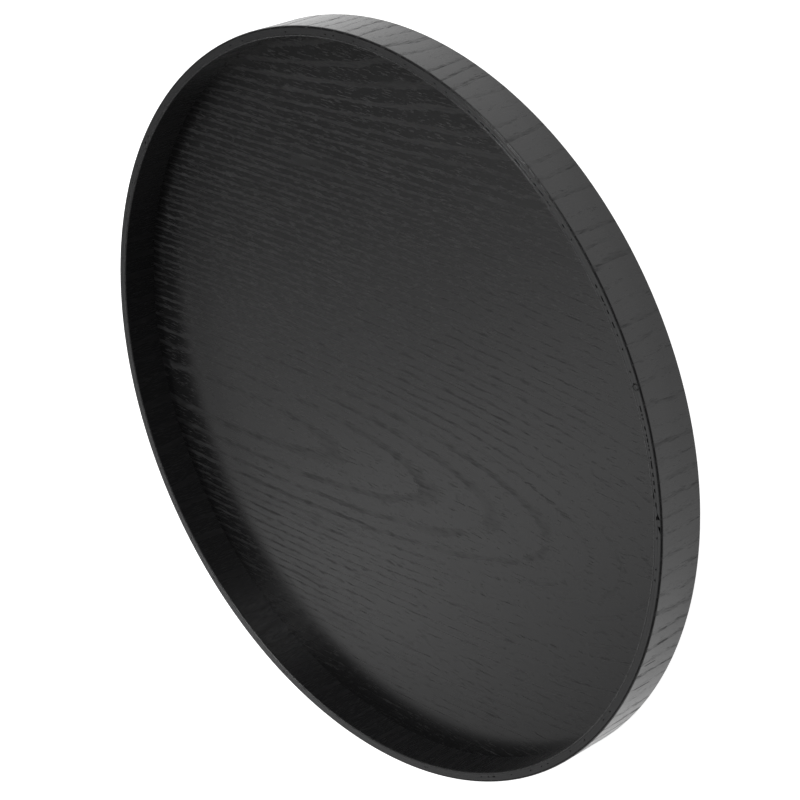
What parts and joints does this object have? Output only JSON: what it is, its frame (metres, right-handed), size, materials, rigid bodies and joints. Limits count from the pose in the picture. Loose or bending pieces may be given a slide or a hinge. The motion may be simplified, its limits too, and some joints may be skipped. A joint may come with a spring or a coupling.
{
  "type": "serving tray",
  "caption": "Round serving tray with a low upright rim, moulded from plywood and faced with black-stained veneer, for carrying dishes and cups.",
  "frame": {"origin": "centre of the ring on the underside of the rim that the tray stands on", "axes": "+Z out of the tray's mouth along its axis, +X along the grain of the base's face veneer"},
  "size_m": [0.3, 0.3, 0.02],
  "materials": {
    "base_face_veneer": "satin",
    "base_back_veneer": "satin",
    "base_ply": "matte",
    "rim_ply": "satin",
    "rim_outer_veneer": "satin",
    "rim_inner_veneer": "satin"
  },
  "bodies": {
    "root": {"base_back_veneer": "base_back_veneer", "base_lower_crossband": "base_ply", "base_core_ply": "base_ply", "base_upper_crossband": "base_ply", "base_face_veneer": "base_face_veneer", "rim_inner_ply": "rim_ply", "rim_outer_ply": "rim_ply", "outer_veneer_leaf_1": "rim_outer_veneer", "outer_veneer_leaf_2": "rim_outer_veneer", "outer_veneer_leaf_3": "rim_outer_veneer", "inner_veneer_leaf_1": "rim_inner_veneer", "inner_veneer_leaf_2": "rim_inner_veneer", "inner_veneer_leaf_3": "rim_inner_veneer", "inner_veneer_leaf_4": "rim_inner_veneer"}
  },
  "joints": []
}
